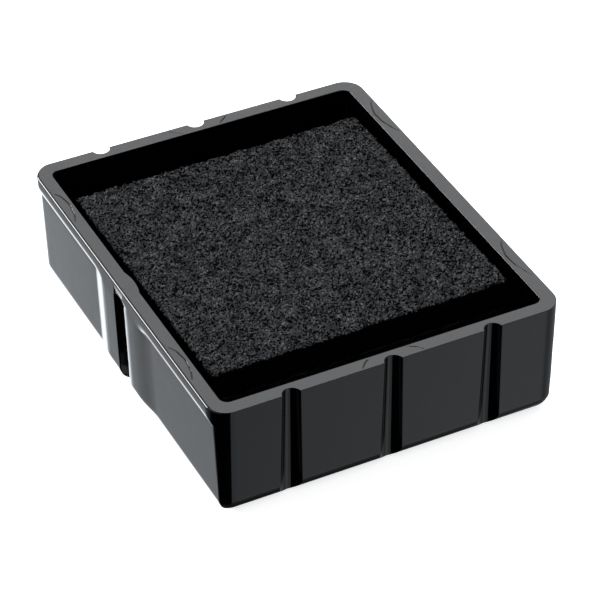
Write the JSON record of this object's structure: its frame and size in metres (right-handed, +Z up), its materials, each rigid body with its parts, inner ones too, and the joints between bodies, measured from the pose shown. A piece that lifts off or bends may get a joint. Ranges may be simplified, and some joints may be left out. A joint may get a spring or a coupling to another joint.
{
  "type": "stamp ink pad",
  "caption": "Open black moulded tray with grooved ends, lipped sides and a keyed slot, holding a square layered ink felt that gives under a stamp die.",
  "frame": {"origin": "centre of the footprint on the tray's flat underside", "axes": "+Z up out of the open tray, +Y from one grooved end to the other (the longest side), +X away from the keyed side, so that the slot faces -X"},
  "size_m": [0.03, 0.0354, 0.0103],
  "materials": {
    "tray_plastic": "glossy black injection-moulded plastic with a faint flow texture",
    "felt": "needled felt soaked in black ink, granular and slightly moist",
    "foam": "open-cell foam soaked in black ink",
    "web": "thin fused bonding web",
    "adhesive": "thin sheet of transfer adhesive, grey-black with ink"
  },
  "bodies": {
    "cartridge": {"tray": "tray_plastic", "pad_adhesive": "adhesive", "foam_reservoir": "foam"},
    "pad_face": {"bonding_web": "web", "felt_face": "felt"}
  },
  "joints": [
    {"name": "pad_press", "type": "slide", "parent": "cartridge", "child": "pad_face", "axis": [0, 0, -1], "range_m": [0, 0.0005], "stiffness_N_per_m": 20000, "deforming": ["foam_reservoir"]}
  ]
}
